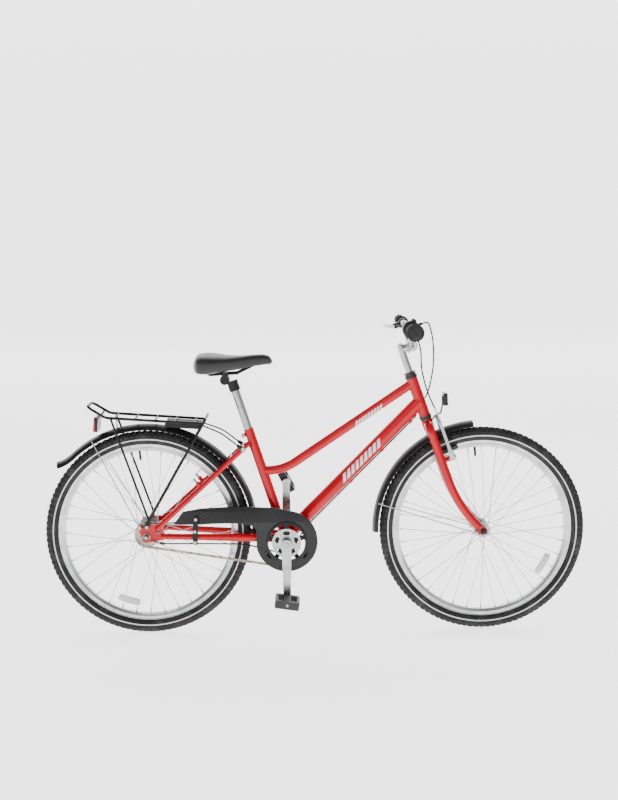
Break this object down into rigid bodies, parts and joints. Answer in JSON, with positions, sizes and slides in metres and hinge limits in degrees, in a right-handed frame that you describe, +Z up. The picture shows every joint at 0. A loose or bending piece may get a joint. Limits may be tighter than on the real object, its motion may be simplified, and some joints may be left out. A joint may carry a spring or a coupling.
{
  "type": "step-through city bicycle",
  "caption": "Step-through bicycle: sloping tube frame, spoked wheels with knobbly tyres, mudguards, luggage rack, closed chain guard, upright flat handlebar.",
  "frame": {"origin": "on the ground, halfway between the two axles, in the middle plane of the frame", "axes": "+X forward, +Y to the rider's left, +Z up"},
  "size_m": [1.716, 0.602, 1.0087],
  "materials": {
    "paint_red": "glossy red enamel with a clear coat",
    "bearing_steel": "blackened bearing steel",
    "zinc_steel": "zinc plated",
    "black_steel": "semi-gloss black paint",
    "black_plastic": "satin black plastic",
    "red_lens": "moulded prismatic lens",
    "chain_steel": "oiled steel",
    "cable_black": "cable casing",
    "alloy": "polished aluminium",
    "spoke_steel": "bright drawn steel",
    "tyre": "knobbly rubber with a white reflecting line",
    "rubber": "soft ribbed rubber",
    "saddle_cover": "padded smooth black cover"
  },
  "bodies": {
    "frame": {"head_tube": "paint_red", "top_tube": "paint_red", "down_tube": "paint_red", "seat_tube": "paint_red", "chain_stays": "paint_red", "seat_stays": "paint_red", "headset_cups": "bearing_steel", "frame_bearings": "bearing_steel", "rear_axle": "zinc_steel", "rear_mudguard": "black_plastic", "rear_guard_wires": "zinc_steel", "frame_bolts": "zinc_steel", "rack_deck": "black_steel", "rack_legs": "black_steel", "rear_reflector": "red_lens", "chain_guard": "black_plastic", "chain": "chain_steel", "gear_cable": "cable_black", "cable_fittings": "black_plastic"},
    "saddle": {"seatpost": "alloy", "saddle_rails": "black_steel", "saddle_base": "black_plastic", "saddle_pad": "saddle_cover"},
    "steering": {"headset_races": "bearing_steel", "fork": "paint_red", "front_axle": "zinc_steel", "stem": "alloy", "handlebar": "alloy", "grips": "rubber", "shifter_housing": "black_plastic", "lever_bracket": "black_steel", "brake_cable": "cable_black", "front_mudguard": "black_plastic", "front_guard_wires": "zinc_steel", "steering_bolts": "zinc_steel", "front_reflector": "black_steel", "gear_cable_loop": "cable_black"},
    "twist_grip": {"twist_grip": "rubber"},
    "brake_lever": {"brake_lever": "alloy"},
    "right_brake": {"right_brake_arm": "alloy"},
    "left_brake": {"left_brake_arm": "alloy"},
    "front_wheel": {"front_tyre": "tyre", "front_inner_tube": "rubber", "front_rim": "alloy", "front_spokes": "spoke_steel", "front_hub": "alloy"},
    "rear_wheel": {"rear_tyre": "tyre", "rear_inner_tube": "rubber", "rear_rim": "alloy", "rear_spokes": "spoke_steel", "rear_hub": "alloy"},
    "rear_driver": {"rear_sprocket": "chain_steel"},
    "cranks": {"spindle": "zinc_steel", "chainring": "chain_steel", "right_crank": "alloy", "left_crank": "alloy", "pedal_axles": "zinc_steel"},
    "right_pedal": {"right_pedal": "black_plastic"},
    "left_pedal": {"left_pedal": "black_plastic"}
  },
  "joints": [
    {"name": "steering_turn", "type": "hinge", "parent": "frame", "child": "steering", "pos_m": [0.34981, 0, 0.69161], "axis": [-0.3305, 0, 0.9438], "range_deg": [-75, 75], "deforming": ["gear_cable_loop"]},
    {"name": "saddle_height", "type": "slide", "parent": "frame", "child": "saddle", "axis": [-0.309, 0, 0.9511], "range_m": [-0.06, 0.06]},
    {"name": "front_wheel_spin", "type": "hinge", "parent": "steering", "child": "front_wheel", "pos_m": [0.531, 0, 0.327], "axis": [0, 1, 0], "continuous": true},
    {"name": "rear_wheel_spin", "type": "hinge", "parent": "frame", "child": "rear_wheel", "pos_m": [-0.531, 0, 0.327], "axis": [0, 1, 0], "continuous": true},
    {"name": "crank_spin", "type": "hinge", "parent": "frame", "child": "cranks", "pos_m": [-0.092, 0, 0.297], "axis": [0, 1, 0], "continuous": true},
    {"name": "driver_spin", "type": "hinge", "parent": "frame", "child": "rear_driver", "pos_m": [-0.531, 0, 0.327], "axis": [0, 1, 0], "continuous": true},
    {"name": "right_pedal_spin", "type": "hinge", "parent": "cranks", "child": "right_pedal", "pos_m": [-0.092, 0, 0.129], "axis": [0, 1, 0], "continuous": true},
    {"name": "left_pedal_spin", "type": "hinge", "parent": "cranks", "child": "left_pedal", "pos_m": [-0.092, 0, 0.465], "axis": [0, 1, 0], "continuous": true},
    {"name": "brake_squeeze", "type": "hinge", "parent": "steering", "child": "brake_lever", "pos_m": [0.26779, 0.14, 0.96697], "axis": [0.3305, 0, -0.9438], "range_deg": [0, 10], "stiffness_Nm_per_rad": 1.5, "springref_deg": -5.73},
    {"name": "right_brake_close", "type": "hinge", "parent": "steering", "child": "right_brake", "pos_m": [0.39922, -0.041, 0.55051], "axis": [0.9438, 0, 0.3305], "range_deg": [-2.6, 0], "deforming": ["brake_cable"]},
    {"name": "left_brake_close", "type": "hinge", "parent": "steering", "child": "left_brake", "pos_m": [0.39922, 0.041, 0.55051], "axis": [0.9438, 0, 0.3305], "range_deg": [0, 2.6], "deforming": ["brake_cable"]},
    {"name": "gear_twist", "type": "hinge", "parent": "steering", "child": "twist_grip", "pos_m": [0.29327, -0.194, 0.97589], "axis": [0, 1, 0], "range_deg": [-35, 35]}
  ],
  "couplings": [
    {"joint": "driver_spin", "follows": "crank_spin", "ratio": 2.1111},
    {"joint": "right_brake_close", "follows": "brake_squeeze", "ratio": -0.26},
    {"joint": "left_brake_close", "follows": "brake_squeeze", "ratio": 0.26}
  ]
}
